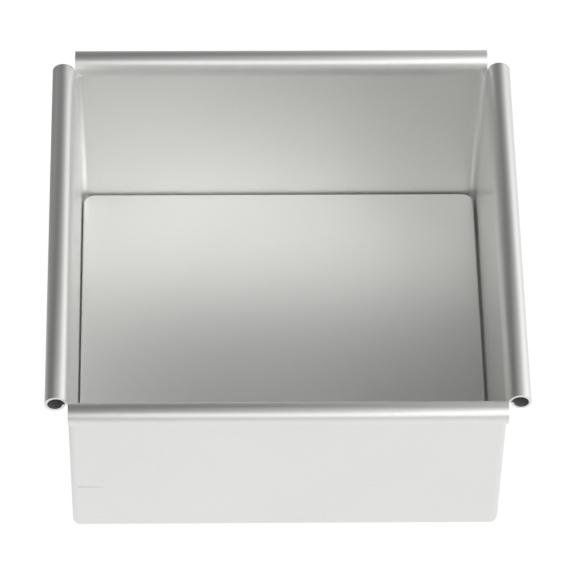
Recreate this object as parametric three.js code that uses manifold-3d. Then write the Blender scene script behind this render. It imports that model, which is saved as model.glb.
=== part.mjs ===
// Square cake pan with a loose base: four sheet-aluminium walls, each with a rolled rim and an in-turned
// ledge, joined by welds at the upright corners, and the plate that drops in and pushes out upwards.
// Millimetres, +Z up. The origin is the centre of the footprint, on the surface that the pan stands on.

import * as THREE from "three";
import { mergeVertices } from "three/addons/utils/BufferGeometryUtils.js";
import Module from "manifold-3d";

// Driving dimensions
const insideWidth = 152.4; // between opposite walls, the same both ways
const insideDepth = 75.7; // from the top of the base to the top of the rim
const sheet = 1; // thickness of the wall sheet
const rimDiameter = 8.1; // outside of the rolled rim, across the roll's first half
const rimOffset = 0.86; // from the wall's inner face out to the side of the roll
const flareHeight = 3.2; // from where the wall begins to flare up to the roll's axis
const rimSlit = 0.2; // from the wall to the roll's free edge, which is tucked in beside it
const rimEndGap = 0.25; // each rim stops this far short of its neighbour's side
const cornerInside = 1.5; // inside radius of the upright corners
const cornerDrop = 6; // from the top of the rim down to the top of a corner weld
const footInside = 3.5; // inside radius of the bend from wall to ledge
const ledgeWidth = 9.5; // from the wall's inner face to the ledge's free edge
const baseThickness = 2.5;
const baseEdge = 0.8; // rounding of the base's upper and lower edges
const baseCorner = 4.5; // corner radius of the base in plan
const baseClearance = 0.9; // from the base to each wall, when it is centred
const baseLean = new THREE.Vector2(-0.25, 0.35); // where the base lies in that clearance, as shares of it
const seatGap = 0.1; // from the base's lower edge to the foot bend that it sits in
const seamGap = 0.1; // from a wall's cut edge to the weld beside it

// Finish of the anodised sheet
const sheetColour = 0xc9cac7;
const baseColour = 0xc4c5c2;
const weldColour = 0xd0d1cd;
const roughness = 0.42;
const metalness = 1;

// Number of divisions that each arc gets, per half
const arcDivisions = 12;
const edgeDivisions = 4;

// Places that follow from the driving dimensions. "Out" is the distance from the middle of the pan.
const innerFace = insideWidth / 2;
const outerFace = innerFace + sheet;
const cornerAxis = innerFace - cornerInside;
const footAxis = innerFace - footInside;
const footHeight = footInside + sheet;
const rimRadius = rimDiameter / 2;
const rimAxis = innerFace + rimOffset + rimRadius;
const rimHalfLength = innerFace + rimOffset - rimEndGap;

// The wall flares on an arc that ends at flareTurn, where the roll's tighter arc takes over.
const flareTurn = 2 * Math.atan(rimOffset / flareHeight);
const flareRadius = rimRadius + flareHeight / Math.sin(flareTurn);
const flareAxis = innerFace + flareRadius;

// The roll's second half is tighter still, so that its free edge clears the wall beside it.
const wallBesideTuck = flareAxis - Math.sqrt((flareRadius - sheet) ** 2 - flareHeight ** 2);
const tuckRadius = (rimAxis + rimRadius - wallBesideTuck - rimSlit) / 2;
const tuckAxis = rimAxis + rimRadius - tuckRadius;

// The base's rounded lower edge lies in the foot bend: an arc inside a larger arc, seatGap apart.
const leastClearance = baseClearance * (1 - Math.max(Math.abs(baseLean.x), Math.abs(baseLean.y)));
const seatReach = Math.max(0, footInside - leastClearance - baseEdge);
const baseBottom = footHeight - baseEdge - Math.sqrt((footInside - baseEdge - seatGap) ** 2 - seatReach ** 2);
const baseTop = baseBottom + baseThickness;
const rimTop = baseTop + insideDepth;
const rimHeight = rimTop - rimRadius;
const flareBottom = rimHeight - flareHeight;
const cornerTop = rimTop - cornerDrop;

const wasm = await Module();
wasm.setup();

function toSolid(geometry) {
  const loose = geometry.index ? geometry.toNonIndexed() : geometry;
  const bare = new THREE.BufferGeometry().setAttribute("position", loose.getAttribute("position"));
  const merged = mergeVertices(bare);
  const vertProperties = merged.getAttribute("position").array;
  const triVerts = new Uint32Array(merged.index.array);
  return new wasm.Manifold(new wasm.Mesh({ numProp: 3, vertProperties, triVerts }));
}

function toGeometry(solid) {
  const { vertProperties, triVerts } = solid.getMesh();
  const geometry = new THREE.BufferGeometry();
  geometry.setAttribute("position", new THREE.BufferAttribute(vertProperties, 3));
  geometry.setIndex(new THREE.BufferAttribute(triVerts, 1));
  const faceted = geometry.toNonIndexed();
  faceted.computeVertexNormals();
  return faceted;
}

// A section drawn as (out, up) and run along Y, centred on the middle of the wall.
function runAlongWall(section, length) {
  const options = { depth: length, bevelEnabled: false, curveSegments: arcDivisions };
  const geometry = new THREE.ExtrudeGeometry(section, options);
  return geometry.translate(0, 0, -length / 2).rotateX(Math.PI / 2);
}

// A plan drawn as (x, y) and raised from one height to another.
function raisePlan(plan, low, high) {
  const options = { depth: high - low, bevelEnabled: false, curveSegments: arcDivisions };
  return new THREE.ExtrudeGeometry(plan, options).translate(0, 0, low);
}

function roundedSquare(halfWidth, radius) {
  const centre = halfWidth - radius;
  const plan = new THREE.Shape();
  plan.absarc(centre, centre, radius, 0, Math.PI / 2, false);
  plan.absarc(-centre, centre, radius, Math.PI / 2, Math.PI, false);
  plan.absarc(-centre, -centre, radius, Math.PI, 1.5 * Math.PI, false);
  plan.absarc(centre, -centre, radius, 1.5 * Math.PI, 2 * Math.PI, false);
  plan.closePath();
  return plan;
}

// The wall sheet in section: ledge, foot bend, upright, flare, and the rim rolled outwards over itself.
function wallSection() {
  const ledgeEdge = innerFace - ledgeWidth;
  const flareEnd = Math.PI - flareTurn;
  const section = new THREE.Shape();
  section.moveTo(ledgeEdge, 0);
  section.lineTo(footAxis, 0);
  section.absarc(footAxis, footHeight, footInside + sheet, -Math.PI / 2, 0, false);
  section.lineTo(outerFace, flareBottom);
  section.absarc(flareAxis, flareBottom, flareRadius - sheet, Math.PI, flareEnd, true);
  section.absarc(rimAxis, rimHeight, rimRadius - sheet, flareEnd, 0, true);
  section.absarc(tuckAxis, rimHeight, tuckRadius - sheet, 0, -Math.PI, true);
  section.absarc(tuckAxis, rimHeight, tuckRadius, -Math.PI, 0, false);
  section.absarc(rimAxis, rimHeight, rimRadius, 0, flareEnd, false);
  section.absarc(flareAxis, flareBottom, flareRadius, flareEnd, Math.PI, false);
  section.lineTo(innerFace, footHeight);
  section.absarc(footAxis, footHeight, footInside, 0, -Math.PI / 2, true);
  section.lineTo(ledgeEdge, sheet);
  section.closePath();
  return section;
}

// What is cut off one end of a wall: a mitre all the way up, and a square notch for the weld, inside the rim.
function endCut() {
  const past = rimAxis + rimDiameter;
  const mitre = new THREE.Shape();
  mitre.moveTo(0, -seamGap);
  mitre.lineTo(past, past - seamGap);
  mitre.lineTo(0, past);
  mitre.closePath();
  const notch = new THREE.Shape();
  notch.moveTo(cornerAxis - seamGap, cornerAxis - seamGap);
  notch.lineTo(outerFace + rimOffset, cornerAxis - seamGap);
  notch.lineTo(outerFace + rimOffset, past);
  notch.lineTo(cornerAxis - seamGap, past);
  notch.closePath();
  const mitreSolid = toSolid(raisePlan(mitre, -sheet, rimTop + sheet));
  return mitreSolid.add(toSolid(raisePlan(notch, -sheet, cornerTop + seamGap)));
}

function wallGeometry() {
  const sheetRun = toSolid(runAlongWall(wallSection(), 2 * rimHalfLength));
  const cut = endCut();
  return toGeometry(sheetRun.subtract(cut).subtract(cut.mirror([0, 1, 0])));
}

// Everything that lies within a set of faces: upright walls, a rounded foot and rounded upright corners.
function enclosedBy(face, footRadius, cornerRadius, top) {
  const section = new THREE.Shape();
  section.moveTo(-face, footHeight - footRadius);
  section.lineTo(footAxis, footHeight - footRadius);
  section.absarc(footAxis, footHeight, footRadius, -Math.PI / 2, 0, false);
  section.lineTo(face, top);
  section.lineTo(-face, top);
  section.closePath();
  const acrossX = toSolid(runAlongWall(section, 2 * outerFace));
  const acrossY = acrossX.rotate([0, 0, 90]);
  const plan = toSolid(raisePlan(roundedSquare(face, cornerRadius), 0, top));
  return acrossX.intersect(acrossY).intersect(plan);
}

// The weld that joins two walls, dressed to the corner radius inside and out, down to the foot bend.
function cornerWeldGeometry() {
  const outside = enclosedBy(outerFace, footInside + sheet, cornerInside + sheet, cornerTop);
  const inside = enclosedBy(innerFace, footInside, cornerInside, rimTop);
  const plan = new THREE.Shape();
  plan.moveTo(cornerAxis, cornerAxis);
  plan.lineTo(rimAxis, cornerAxis);
  plan.lineTo(rimAxis, rimAxis);
  plan.lineTo(cornerAxis, rimAxis);
  plan.closePath();
  const corner = toSolid(raisePlan(plan, -sheet, rimTop));
  return toGeometry(outside.subtract(inside).intersect(corner));
}

// The loose base: a flat plate with rounded corners and rounded edges.
function baseGeometry() {
  const plan = roundedSquare(innerFace - baseClearance, baseCorner);
  const options = {
    depth: baseThickness - 2 * baseEdge,
    bevelEnabled: true,
    bevelThickness: baseEdge,
    bevelSize: baseEdge,
    bevelOffset: -baseEdge,
    bevelSegments: edgeDivisions,
    curveSegments: arcDivisions / 2,
  };
  return new THREE.ExtrudeGeometry(plan, options).translate(0, 0, baseEdge);
}

function finish(color) {
  return new THREE.MeshStandardMaterial({ color, roughness, metalness });
}

function piece(name, geometry, material) {
  const mesh = new THREE.Mesh(geometry, material);
  mesh.name = name;
  return mesh;
}

// The welded shell: each wall, and the weld at its right end as seen from outside, is turned to its side.
function buildShell() {
  const shell = new THREE.Group();
  const wall = wallGeometry();
  const weld = cornerWeldGeometry();
  const sheetFinish = finish(sheetColour);
  const weldFinish = finish(weldColour);
  const sides = ["right", "rear", "left", "front"];
  const corners = ["rear_right", "rear_left", "front_left", "front_right"];
  sides.forEach((side, turn) => {
    const quarter = new THREE.Group();
    quarter.rotation.z = (turn * Math.PI) / 2;
    quarter.add(piece(`${side}_wall`, wall, sheetFinish));
    quarter.add(piece(`${corners[turn]}_corner_weld`, weld, weldFinish));
    shell.add(quarter);
  });
  return shell;
}

function buildBase() {
  const base = piece("loose_base", baseGeometry(), finish(baseColour));
  base.position.set(baseLean.x * baseClearance, baseLean.y * baseClearance, baseBottom);
  return base;
}

const cakePan = new THREE.Group();
cakePan.add(buildShell(), buildBase());

export default cakePan;
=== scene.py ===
import math

import bpy
from mathutils import Matrix, Vector


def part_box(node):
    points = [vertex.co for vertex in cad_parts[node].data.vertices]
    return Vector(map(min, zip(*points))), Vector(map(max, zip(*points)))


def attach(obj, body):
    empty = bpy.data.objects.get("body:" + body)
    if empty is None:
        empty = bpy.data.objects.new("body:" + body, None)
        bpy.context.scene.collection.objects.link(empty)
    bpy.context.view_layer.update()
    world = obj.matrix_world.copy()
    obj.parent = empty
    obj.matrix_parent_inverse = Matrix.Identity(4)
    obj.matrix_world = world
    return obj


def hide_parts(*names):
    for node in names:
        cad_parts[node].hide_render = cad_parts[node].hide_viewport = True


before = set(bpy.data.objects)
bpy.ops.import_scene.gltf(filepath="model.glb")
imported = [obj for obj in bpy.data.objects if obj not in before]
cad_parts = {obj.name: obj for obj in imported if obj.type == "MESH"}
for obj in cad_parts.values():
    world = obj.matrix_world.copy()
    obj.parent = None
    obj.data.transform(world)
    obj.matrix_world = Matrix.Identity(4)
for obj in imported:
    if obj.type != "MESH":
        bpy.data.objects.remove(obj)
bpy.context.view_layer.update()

scene = bpy.context.scene
scene.view_settings.view_transform = "Standard"
scene.cycles.max_bounces = 16
scene.cycles.glossy_bounces = 12    # light goes back and forth between the walls
mm = 0.001
quarterTurn = math.pi / 2
print("frame loaded,", len(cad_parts), "nodes")


class Wire:  # an output socket, so that sums of values are written as Python expressions
    def __init__(self, tree, socket=None):
        self.tree = tree
        self.socket = socket

    def node(self, kind, settings=None, sockets=None, out=0):
        made = self.tree.nodes.new(kind)
        for name, value in (settings or {}).items():
            setattr(made, name, value)
        for name, value in (sockets or {}).items():
            if isinstance(value, Wire):
                self.tree.links.new(value.socket, made.inputs[name])
            else:
                made.inputs[name].default_value = value
        return made if out is None else Wire(self.tree, made.outputs[out])

    def out(self, name):
        return Wire(self.tree, self.socket.node.outputs[name])

    def maths(self, operation, *values):
        return self.node("ShaderNodeMath", {"operation": operation}, dict(enumerate(values)))

    def __add__(self, other):
        return self.maths("ADD", self, other)

    def __radd__(self, other):
        return self.maths("ADD", other, self)

    def __sub__(self, other):
        return self.maths("SUBTRACT", self, other)

    def __rsub__(self, other):
        return self.maths("SUBTRACT", other, self)

    def __mul__(self, other):
        return self.maths("MULTIPLY", self, other)

    def __rmul__(self, other):
        return self.maths("MULTIPLY", other, self)

    def __truediv__(self, other):
        return self.maths("DIVIDE", self, other)

    def __rtruediv__(self, other):
        return self.maths("DIVIDE", other, self)

    def __gt__(self, other):
        return self.maths("GREATER_THAN", self, other)

    def __lt__(self, other):
        return self.maths("LESS_THAN", self, other)

    def atLeast(self, other):
        return self.maths("MAXIMUM", self, other)

    def atMost(self, other):
        return self.maths("MINIMUM", self, other)

    def sine(self):
        return self.maths("SINE", self)

    def cosine(self):
        return self.maths("COSINE", self)

    def root(self):
        return self.maths("SQRT", self)

    def absolute(self):
        return self.maths("ABSOLUTE", self)


def sine(angle):
    return angle.sine() if isinstance(angle, Wire) else math.sin(angle)


def cosine(angle):
    return angle.cosine() if isinstance(angle, Wire) else math.cos(angle)


def emptyTree(owner):
    owner.use_nodes = True
    owner.node_tree.nodes.clear()
    return Wire(owner.node_tree)


# sheet, weld and plate are each a grid whose points are set by rule, wrapped round and welded shut

meshing = {
    "mergeDistance": 0.002,     # millimetres
    "easedAngle": 40,           # free edges that turn by more degrees than this are eased
    "easedSteps": 2,
    "creaseAngle": 27,          # and any that turn by more than this aren't shaded smooth
}


def sizedTree(name, sizes):
    tree = bpy.data.node_groups.new(name, "GeometryNodeTree")
    for label in sizes:
        tree.interface.new_socket(label, in_out="INPUT", socket_type="NodeSocketFloat")
    tree.interface.new_socket("Material", in_out="INPUT", socket_type="NodeSocketMaterial")
    tree.interface.new_socket("Geometry", in_out="OUTPUT", socket_type="NodeSocketGeometry")
    given = Wire(tree).node("NodeGroupInput")
    return tree, {label: given.out(label) for label in [*sizes, "Material"]}


def gridPlaces(tree, columns, onFaces=False):
    index = Wire(tree).node("GeometryNodeInputIndex")
    across = columns - 1 if onFaces else columns
    column = index.maths("FLOORED_MODULO", index, across)
    station = index.maths("FLOOR", index / across)
    return station, column


def wrappedGrid(tree, stations, columns, spot, material, marks, insideOut=False):
    put = Wire(tree)

    def mark(body, label, kind, domain, value):
        return put.node("GeometryNodeStoreNamedAttribute", {"data_type": kind, "domain": domain}, {
            "Geometry": body, "Name": label, "Value": value})

    body = put.node("GeometryNodeMeshGrid", {}, {"Vertices X": stations, "Vertices Y": columns})
    for label, kind, domain, value in marks:
        body = mark(body, label, kind, domain, value)
    body = put.node("GeometryNodeSetPosition", {}, {"Geometry": body, "Position": spot})
    body = put.node("GeometryNodeMergeByDistance", {}, {
        "Geometry": body, "Distance": meshing["mergeDistance"] * mm})
    angle = put.node("GeometryNodeInputMeshEdgeAngle", {}, {}, out="Unsigned Angle")
    free = put.node("GeometryNodeInputNamedAttribute", {"data_type": "FLOAT"}, {"Name": "freeEdge"})
    eased = (angle > math.radians(meshing["easedAngle"])) * (free > 0.9)    # free at both its points
    body = mark(body, "bevel_weight_edge", "FLOAT", "EDGE", eased)
    if insideOut:   # the rows and columns run round the other way
        body = put.node("GeometryNodeFlipFaces", {}, {"Mesh": body})
    body = put.node("GeometryNodeSetShadeSmooth", {}, {"Geometry": body, "Shade Smooth": True})
    body = put.node("GeometryNodeRealizeInstances", {}, {"Geometry": body})
    body = put.node("GeometryNodeSetMaterial", {}, {"Geometry": body, "Material": material})
    put.node("NodeGroupOutput", {}, {"Geometry": body}, out=None)


def growMesh(tree, sizes, material, easedEdge=0.0):
    shape = bpy.data.objects.new(tree.name, bpy.data.meshes.new(tree.name))
    scene.collection.objects.link(shape)
    grow = shape.modifiers.new("grow", "NODES")
    grow.node_group = tree
    for item in tree.interface.items_tree:
        if item.in_out == "INPUT":
            grow[item.identifier] = material if item.name == "Material" else sizes[item.name] * mm
    if easedEdge:
        ease = shape.modifiers.new("ease", "BEVEL")
        ease.width = easedEdge * mm
        ease.segments = meshing["easedSteps"]
        ease.limit_method = "WEIGHT"
    mesh = bpy.data.meshes.new_from_object(shape.evaluated_get(bpy.context.evaluated_depsgraph_get()))
    shape.modifiers.clear()
    bpy.data.objects.remove(shape)
    mesh.set_sharp_from_angle(angle=math.radians(meshing["creaseAngle"]))
    return mesh


def place(name, mesh, body, node):
    mesh.name = name
    piece = bpy.data.objects.new(name, mesh)
    scene.collection.objects.link(piece)
    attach(piece, body)
    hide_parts(node)


# camera, from the photograph's straight lines

cameraView = {
    "position": (-0.030515, -0.907950, 1.216916),
    "yaw": 2.0277,      # degrees to the right of straight ahead
    "pitch": 52.263,    # degrees down
    "roll": 1.3636,
    "lens": 252.396,    # millimetres, as the sensor
    "sensor": 36,
    "farthest": 30,     # metres
}


def makeCamera(look):
    yaw, pitch, roll = (math.radians(look[key]) for key in ("yaw", "pitch", "roll"))
    ahead = Vector((math.sin(yaw) * math.cos(pitch), math.cos(yaw) * math.cos(pitch), -math.sin(pitch)))
    right = ahead.cross(Vector((0, 0, 1))).normalized()
    up = right.cross(ahead)
    turnedRight = right * math.cos(roll) + up * math.sin(roll)
    turnedUp = up * math.cos(roll) - right * math.sin(roll)
    data = bpy.data.cameras.new("panCamera")
    data.lens = look["lens"]
    data.sensor_width = look["sensor"]
    data.clip_end = look["farthest"]
    camera = bpy.data.objects.new("panCamera", data)
    turn = Matrix((turnedRight, turnedUp, -ahead)).transposed()
    camera.matrix_world = Matrix.Translation(look["position"]) @ turn.to_4x4()
    scene.collection.objects.link(camera)
    scene.camera = camera


makeCamera(cameraView)
print("camera set")


# studio: white floor, a long softbox round the front right, grey room

studio = {
    "lamps": {  # bearing clockwise from the rear, height, strength, tightness
        "keyBox": (130, 45, 3.2, 60),
        "lowKeyBox": (140, 38, 2.6, 60),
        "rightBox": (100, 50, 2.4, 40),
        "lowRightBox": (110, 36, 1.4, 40),
        "frontRightBox": (165, 30, 2.8, 40),
        "frontBox": (195, 28, 1.85, 40),
        "frontTop": (205, 48, 2.7, 40),
        "ceiling": (0, 85, 0.74, 20),
        "rightRoom": (90, 12, 1.3, 8),
        "rightRearRoom": (45, 12, 1.38, 8),
        "rearRoom": (0, 12, 0.09, 8),
        "leftRearRoom": (315, 12, 0.38, 8),
    },
    "lampColour": (1.0, 1.0, 1.0),
    "floorHalf": 6.0,       # metres
    "floorDrop": 0.0004,    # metres, below the foot
    "floorColour": 0.88,
    "floorWhite": 0.9,      # share of the floor that is plain white to the eye
    "floorInView": 1.075,   # how bright that share is
    "floorInMetal": 0.864,  # how white the metal shows it
    "floorShade": 0.284,    # the same, on the side that is out of the light
    "shadeBearing": 315,
}


def towardsBearing(bearing, height):
    turn, rise = math.radians(bearing), math.radians(height)
    return math.sin(turn) * math.cos(rise), math.cos(turn) * math.cos(rise), math.sin(rise)


def nearness(put, direction, axis):
    product = {"operation": "DOT_PRODUCT"}
    return put.node("ShaderNodeVectorMath", product, {0: direction, 1: axis}, out="Value")


def seenDirectly(put):
    path = put.node("ShaderNodeLightPath")
    glossy = path.out("Is Glossy Ray")
    clear = path.out("Is Transmission Ray")
    return path.out("Is Camera Ray"), glossy.atLeast(clear)


def makeWorld(look):
    world = bpy.data.worlds.new("studio")
    scene.world = world
    put = emptyTree(world)
    towards = put.node("ShaderNodeTexCoord").out("Generated")
    glow = 0
    for bearing, height, strength, tightness in look["lamps"].values():
        near = nearness(put, towards, towardsBearing(bearing, height))
        glow = glow + put.maths("EXPONENT", (near - 1) * tightness) * strength
    lit = put.node("ShaderNodeBackground", {}, {"Color": (*look["lampColour"], 1), "Strength": glow})
    white = put.node("ShaderNodeBackground", {}, {"Color": (1, 1, 1, 1), "Strength": 1.0})
    camera, mirrored = seenDirectly(put)
    upward = put.node("ShaderNodeSeparateXYZ", {}, {0: towards}).out("Z")
    share = camera.atLeast(mirrored * (upward < 0))
    mixed = put.node("ShaderNodeMixShader", {}, {0: share, 1: lit, 2: white})
    put.node("ShaderNodeOutputWorld", {}, {"Surface": mixed}, out=None)


def makeFloor(look):
    mesh = bpy.data.meshes.new("floor")
    half, low = look["floorHalf"], -look["floorDrop"]
    corners = [(-half, -half, low), (half, -half, low), (half, half, low), (-half, half, low)]
    mesh.from_pydata(corners, [], [(0, 1, 2, 3)])
    material = bpy.data.materials.new("whiteFloor")
    material.cycles.emission_sampling = "NONE"
    put = emptyTree(material)
    grey = look["floorColour"]
    matt = put.node("ShaderNodeBsdfDiffuse", {}, {"Color": (grey, grey, grey, 1)})
    camera, mirrored = seenDirectly(put)
    spot = put.node("ShaderNodeTexCoord").out("Object")
    spot = put.node("ShaderNodeVectorMath", {"operation": "NORMALIZE"}, {0: spot})
    away = nearness(put, spot, towardsBearing(look["shadeBearing"], 0)).atLeast(0)
    inMetal = look["floorInMetal"] - away * away * (look["floorInMetal"] - look["floorShade"])
    seen = camera * look["floorInView"] + mirrored * inMetal
    white = put.node("ShaderNodeEmission", {}, {"Color": (1, 1, 1, 1), "Strength": seen})
    share = (camera * look["floorWhite"]).atLeast(mirrored)
    mixed = put.node("ShaderNodeMixShader", {}, {0: share, 1: matt, 2: white})
    put.node("ShaderNodeOutputMaterial", {}, {"Surface": mixed}, out=None)
    mesh.materials.append(material)
    floor = bpy.data.objects.new("floor", mesh)
    scene.collection.objects.link(floor)


makeWorld(studio)
makeFloor(studio)
print("studio lit")


# satin anodised aluminium: etched metal under a clear oxide

sheetFinish = {
    "colour": (0.908, 0.911, 0.894),
    "dullColour": (0.878, 0.882, 0.865),
    # painted shade: the burnished rim is coloured darker, which tones down its highlight
    "workedAndDimmedColour": (0.752, 0.755, 0.742),
    "cutColour": (0.880, 0.880, 0.868),
    "paintedShadeColour": (0.165, 0.170, 0.180),      # painted shade inside the roll and in the base's seat
    "paintedShadeDullness": 0.8,      # how much less metallic the painted shade is
    "roughness": 0.52,
    "workedRoughness": 0.49,    # the rollers burnish the rim
    "oxide": 0.35,
    "oxideRoughness": 0.16,
    "grain": (2600, 3.0),       # etched grain: per metre, and how finely divided
    "speck": (620, 2.0),
    "wave": (95, 1.0),          # dents and waves of the thin sheet
    "cloud": (22, 4.0),
    "speckContrast": 0.9,
    "grainRoughness": 0.08,     # how far the noises move the roughness
    "speckRoughness": 0.06,
    "cloudRoughness": 0.06,
    "grainDepth": 0.12,         # shares of the heights below
    "waveDepth": 0.10,
    "grainHeight": 0.00003,     # metres
    "waveHeight": 0.0004,
}
weldFinish = {**sheetFinish, "workedAndDimmedColour": (0.895, 0.898, 0.886), "workedRoughness": 0.53}
baseFinish = {**sheetFinish, "roughness": 0.46}
scratch = {  # on the front wall, metres along it from the middle and up the sheet
    "from": -0.0746,
    "to": -0.0655,
    "height": 0.0337,
    "slope": -0.02,
    "width": 0.00045,
    "shade": 0.62,
}


def noise(put, where, kind):
    scale, detail = kind
    return put.node("ShaderNodeTexNoise", {}, {"Vector": where, "Scale": scale, "Detail": detail})


def blend(put, share, first, second):
    return put.node("ShaderNodeMix", {"data_type": "RGBA"}, {0: share, 6: first, 7: second}, out=2)


def scratched(put, mark):
    spot = put.node("ShaderNodeAttribute", {"attribute_name": "sheetPlace"}).out("Vector")
    spot = put.node("ShaderNodeSeparateXYZ", {}, {0: spot})
    along, up, back = spot.out("X"), spot.out("Y"), spot.out("Z")
    off = (up - mark["height"] - (along - mark["from"]) * mark["slope"]).absolute()
    thin = (1 - off / mark["width"]).atLeast(0)
    fade = ((mark["to"] - along) / (mark["to"] - mark["from"])).atLeast(0).root()
    return thin * fade * (along > mark["from"]) * (back > 0.5)


def satinMetal(name, look, mark=None):
    material = bpy.data.materials.new(name)
    put = emptyTree(material)
    where = put.node("ShaderNodeTexCoord").out("Object")
    grain, speck, wave, cloud = (
        noise(put, where, look[kind]) for kind in ("grain", "speck", "wave", "cloud"))
    cut, workedAndDimmed, paintedShade = (
        put.node("ShaderNodeAttribute", {"attribute_name": label}).out("Fac")
        for label in ("cutEdge", "workedAndDimmed", "paintedShade"))
    dull = cloud + (speck - 0.5) * look["speckContrast"]    # noise swings round a half
    tone = blend(put, dull, (*look["colour"], 1), (*look["dullColour"], 1))
    # painted shade: the burnished rim is coloured darker, which tones down its highlight
    tone = blend(put, workedAndDimmed, tone, (*look["workedAndDimmedColour"], 1))
    tone = blend(put, cut, tone, (*look["cutColour"], 1))
    # painted shade: the inside of the roll and the base's seat are coloured dark
    tone = blend(put, paintedShade, tone, (*look["paintedShadeColour"], 1))
    if mark:
        darker = tuple(mark["shade"] * part for part in look["colour"])
        tone = blend(put, scratched(put, mark), tone, (*darker, 1))
    rough = look["roughness"] - workedAndDimmed * (look["roughness"] - look["workedRoughness"])
    rough = rough + (cloud - 0.5) * look["cloudRoughness"] + (speck - 0.5) * look["speckRoughness"]
    rough = rough + (grain - 0.5) * look["grainRoughness"]
    waves = put.node("ShaderNodeBump", {}, {
        "Strength": look["waveDepth"], "Distance": look["waveHeight"], "Height": wave})
    relief = put.node("ShaderNodeBump", {}, {
        "Strength": look["grainDepth"], "Distance": look["grainHeight"], "Height": grain, "Normal": waves})
    metal = put.node("ShaderNodeBsdfPrincipled", {}, {
        "Base Color": tone, "Metallic": 1 - paintedShade * look["paintedShadeDullness"], "Roughness": rough,
        "Normal": relief, "Coat Weight": look["oxide"] * (1 - paintedShade),
        "Coat Roughness": look["oxideRoughness"]})
    put.node("ShaderNodeOutputMaterial", {}, {"Surface": metal}, out=None)
    return material


sheetMaterial = satinMetal("satinSheet", sheetFinish)
frontMaterial = satinMetal("satinFrontSheet", sheetFinish, scratch)
weldMaterial = satinMetal("dressedWeld", weldFinish)
baseMaterial = satinMetal("satinBase", baseFinish)
print("finishes made")


# the four walls: one strip of sheet that follows its bends from the ledge's edge to the roll's free edge

wall = {
    "sizes": {  # millimetres
        "Inside Width": 152.4,
        "Height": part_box("right_wall")[1].z / mm,
        "Sheet": 1.0,
        "Rim Diameter": 8.1,
        "Rim Offset": 0.86,
        "Flare Height": 3.2,
        "Rim Slit": 0.2,
        "Rim End Gap": 0.25,
        "Corner Radius": 1.5,
        "Corner Drop": 6.0,
        "Foot Radius": 3.5,
        "Ledge Width": 9.5,
        "Seam Gap": 0.1,
    },
    "stations": 440,        # rows of points along the sheet
    "easedEdge": 0.12,      # millimetres
    "seatShadeTurn": 1.45,       # radians of the foot bend that the painted shade in the base's seat takes up
    # painted shade: the seat under the base is darkened where the gap round the base lies in shade
    "seatPaintedShade": 0.35,
    "burnishAndDimEnd": 0.15,     # the burnish and the painted dimming of the rim's highlight stop this far before the roll's outer side, in roll radii
    "burnishAndDimFade": 0.5,     # and fades over this much
}


def followBends(along, out, up, bends):
    start, heading, angle = 0, 0, 0
    for length, turn in bends:
        run = (along - start).atLeast(0).atMost(length)
        if turn is None:
            out = out + run * cosine(heading)
            up = up + run * sine(heading)
        else:
            bent = run * (turn / length)
            now = heading + bent
            radius = length / turn
            out = out + radius * (sine(now) - sine(heading))
            up = up + radius * (cosine(heading) - cosine(now))
            angle = angle + bent
            heading = heading + turn
        start = start + length
    return out, up, angle


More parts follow.
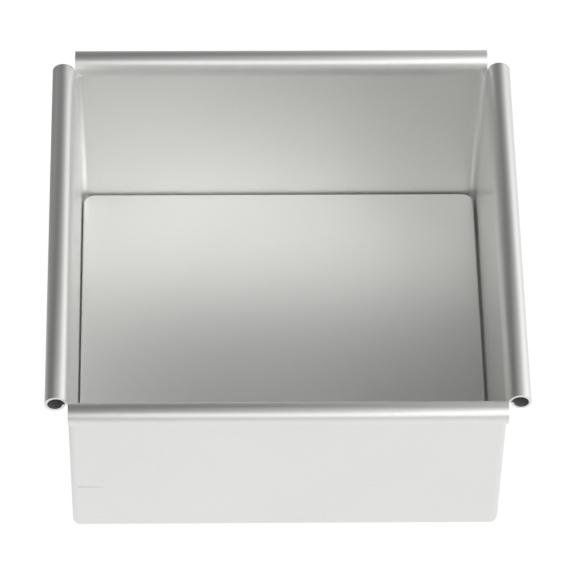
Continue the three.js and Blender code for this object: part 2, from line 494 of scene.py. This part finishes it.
def wallTree(look):
    tree, size = sizedTree("rolledWall", look["sizes"])
    put = Wire(tree)
    stations = look["stations"]
    columns = 5     # along the inside, round the end, back along the outside and round to the start
    station, column = gridPlaces(tree, columns)
    inner = size["Inside Width"] / 2
    sheet = size["Sheet"]
    gap = size["Seam Gap"]
    foot = size["Foot Radius"]
    roll = size["Rim Diameter"] / 2
    flareHeight = size["Flare Height"]
    flareTurn = put.maths("ARCTANGENT", size["Rim Offset"] / flareHeight) * 2
    flare = roll + flareHeight / flareTurn.sine()
    beside = inner + flare - ((flare - sheet) * (flare - sheet) - flareHeight * flareHeight).root()
    tuck = (inner + size["Rim Offset"] + roll * 2 - beside - size["Rim Slit"]) / 2
    ledge = size["Ledge Width"] - foot
    footBend = foot * quarterTurn
    upright = size["Height"] - roll - flareHeight - foot - sheet
    bends = [  # length of each stretch, and how far it turns
        (ledge, None),
        (footBend, quarterTurn),
        (upright, None),
        (flare * flareTurn, flareTurn * -1),
        (roll * (math.pi - flareTurn), flareTurn - math.pi),
        (tuck * math.pi, -math.pi),
    ]
    total = sum(length for length, turn in bends)
    step = total / (stations - 3)   # the first and last rows close the sheet's edges
    along = ((station - 1) * step).atLeast(0).atMost(total)
    out, up, angle = followBends(along, inner - size["Ledge Width"], sheet, bends)

    # square at the rim, mitred at flare and ledge, cut back for the weld in between
    weldTop = ledge + footBend + upright + (roll + flareHeight - size["Corner Drop"])
    cornerAxis = inner - size["Corner Radius"]
    low = along < weldTop
    lowEnd = out.atMost(cornerAxis + gap) - gap
    highEnd = out.atMost(inner + size["Rim Offset"] - size["Rim End Gap"])
    end = lowEnd * low + highEnd * (1 - low)
    side = ((column - 1.5).absolute() < 1) * 2 - 1
    back = (column - 2.5).absolute() < 1
    thick = sheet * back * (station > 0.5) * (station < stations - 1.5)
    spot = put.node("ShaderNodeCombineXYZ", {}, {
        0: out + thick * angle.sine(), 1: end * side, 2: up - thick * angle.cosine()})

    # cut edges, painted shade inside the roll and in the base's seat, and the burnish over the rim, also
    # painted darker to tone down its highlight
    faceStation, faceColumn = gridPlaces(tree, columns, onFaces=True)
    faceAlong = (faceStation - 0.5) * step
    rollStart = total - (roll + tuck) * math.pi
    endFace = put.maths("FLOORED_MODULO", faceColumn, 2)
    edgeFace = (faceStation < 0.5).atLeast(faceStation > stations - 2.5)
    backFace = (faceColumn - 2).absolute() < 0.5
    rolled = ((faceAlong - rollStart) / roll).atLeast(0).atMost(1)
    # painted shade in the seat under the base
    paintedSeatShade = (faceColumn < 0.5) * (faceAlong < ledge + foot * look["seatShadeTurn"]) * look["seatPaintedShade"]
    burnishAndDimStart = (along - rollStart) / roll
    burnishAndDimEnd = (total - tuck * math.pi - roll * look["burnishAndDimEnd"] - along) / (roll * look["burnishAndDimFade"])
    flat = put.node("ShaderNodeCombineXYZ", {}, {0: end * side, 1: along, 2: back})
    marks = [
        ("sheetPlace", "FLOAT_VECTOR", "POINT", flat),
        ("freeEdge", "FLOAT", "POINT", (1 - low).atLeast(along < sheet / 2)),
        ("cutEdge", "FLOAT", "FACE", endFace.atLeast(edgeFace)),
        ("paintedShade", "FLOAT", "FACE", (backFace * rolled).atLeast(paintedSeatShade)),
        ("workedAndDimmed", "FLOAT", "POINT", burnishAndDimStart.atMost(burnishAndDimEnd).atLeast(0).atMost(1)),
    ]
    wrappedGrid(tree, stations, columns, spot, size["Material"], marks)
    return tree


rolledWall = wallTree(wall)
for turn, side in enumerate(("right", "rear", "left", "front")):
    material = frontMaterial if side == "front" else sheetMaterial
    wallMesh = growMesh(rolledWall, wall["sizes"], material, wall["easedEdge"])
    wallMesh.transform(Matrix.Rotation(turn * quarterTurn, 4, "Z"))
    place(side + "WallSheet", wallMesh, "shell", side + "_wall")
    print(side, "wall rolled,", len(wallMesh.polygons), "faces")


# the four corner welds: a quarter round from the notch under the rim down to a point in the foot bend

weld = {
    "sizes": {  # millimetres
        "Inside Width": wall["sizes"]["Inside Width"],
        "Top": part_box("rear_right_corner_weld")[1].z / mm,
        "Sheet": wall["sizes"]["Sheet"],
        "Corner Radius": wall["sizes"]["Corner Radius"],
        "Fillet Radius": 2.6,   # the bead laps a little over the walls inside
        "Foot Radius": wall["sizes"]["Foot Radius"],
    },
    "arc": 13,              # points round the corner
    "footSteps": 12,        # rows down the foot bend
    "easedEdge": 0.1,       # millimetres
}


def weldTree(look):
    tree, size = sizedTree("cornerWeld", look["sizes"])
    put = Wire(tree)
    arc = look["arc"]
    columns = 2 * arc + 1   # round the inside, back round the outside, and the first point again
    stations = look["footSteps"] + 3    # two rows that close the top, and those down the foot bend
    station, column = gridPlaces(tree, columns)
    fillet = size["Fillet Radius"]
    sheet = size["Sheet"]
    footHeight = size["Foot Radius"] + sheet
    again = column > 2 * arc - 0.5
    outside = (column > arc - 0.5) * (1 - again)
    inside = (1 - outside) * (1 - again)
    angle = (outside * (2 * arc - 1 - column) + inside * column) * (quarterTurn / (arc - 1))
    outer = outside * (station > 0.5)
    corner = fillet + (size["Corner Radius"] - fillet) * outer
    axis = size["Inside Width"] / 2 - corner
    bend = size["Foot Radius"] + sheet * outer
    reach = corner + sheet * outer
    share = ((station - 2) / look["footSteps"]).atLeast(0)
    slope = share * put.maths("ARCCOSINE", 1 - reach / bend)
    radius = reach - bend * (1 - slope.cosine())
    standing = station < 1.5
    height = size["Top"] * standing + (footHeight - bend * slope.sine()) * (1 - standing)
    spot = put.node("ShaderNodeCombineXYZ", {}, {
        0: axis + radius * angle.cosine(), 1: axis + radius * angle.sine(), 2: height})
    faceStation, faceColumn = gridPlaces(tree, columns, onFaces=True)
    marks = [
        ("freeEdge", "FLOAT", "POINT", standing),
        ("cutEdge", "FLOAT", "FACE", faceStation < 0.5),
        ("workedAndDimmed", "FLOAT", "FACE", faceColumn < arc - 1.5),
    ]
    wrappedGrid(tree, stations, columns, spot, size["Material"], marks, insideOut=True)
    return tree


cornerWeld = weldTree(weld)
for turn, corner in enumerate(("rear_right", "rear_left", "front_left", "front_right")):
    weldMesh = growMesh(cornerWeld, weld["sizes"], weldMaterial, weld["easedEdge"])
    weldMesh.transform(Matrix.Rotation(turn * quarterTurn, 4, "Z"))
    first, second = corner.split("_")
    seamName = first + second.capitalize() + "WeldSeam"
    place(seamName, weldMesh, "shell", corner + "_corner_weld")
    print(corner, "weld dressed,", len(weldMesh.polygons), "faces")


# the loose base: a flat plate with round corners and eased edges

baseLow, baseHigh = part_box("loose_base")
base = {
    "sizes": {  # millimetres
        "Width": (baseHigh.x - baseLow.x) / mm,
        "Thickness": (baseHigh.z - baseLow.z) / mm,
        "Corner Radius": 4.5,
        "Edge Radius": 0.8,
    },
    "arc": 15,              # points round each corner
    "edgeSteps": 7,         # rows round half an edge
    "flatInset": 3,         # a row on the flat, this many edge radii in, keeps its shading flat
}


def baseTree(look):
    tree, size = sizedTree("looseBase", look["sizes"])
    put = Wire(tree)
    arc = look["arc"]
    edgeSteps = look["edgeSteps"]
    columns = 4 * arc + 1   # round the four corners, and the first point again
    stations = 2 * edgeSteps + 6    # both edges, and on either side a row on the flat and the middle
    station, column = gridPlaces(tree, columns)
    edge = size["Edge Radius"]
    corner = size["Corner Radius"]
    quarter = put.maths("FLOOR", column / arc)
    angle = (quarter + (column - quarter * arc) / (arc - 1)) * quarterTurn
    diagonal = (quarter + 0.5) * quarterTurn
    centre = (size["Width"] / 2 - corner) * math.sqrt(2)
    upper = station > edgeSteps + 2.5
    step = (station - 2 - upper).atLeast(0).atMost(2 * edgeSteps)
    slope = step * (quarterTurn / edgeSteps)
    flat = (station < 1.5).atLeast(station > stations - 2.5)
    inset = edge * (1 - slope.sine()) + edge * look["flatInset"] * flat
    height = edge * (1 - slope.cosine()) + upper * (size["Thickness"] - edge * 2)
    radius = corner - inset
    keep = (station > 0.5) * (station < stations - 1.5)     # the first and last rows meet in the middle
    spot = put.node("ShaderNodeCombineXYZ", {}, {
        0: keep * (centre * diagonal.cosine() + radius * angle.cosine()),
        1: keep * (centre * diagonal.sine() + radius * angle.sine()),
        2: height})
    wrappedGrid(tree, stations, columns, spot, size["Material"], [], insideOut=True)
    return tree


baseMesh = growMesh(baseTree(base), base["sizes"], baseMaterial)
baseSeat = ((baseLow.x + baseHigh.x) / 2, (baseLow.y + baseHigh.y) / 2, baseLow.z)
baseMesh.transform(Matrix.Translation(baseSeat))
place("basePlate", baseMesh, "base", "loose_base")
print("base laid in,", len(baseMesh.polygons), "faces")
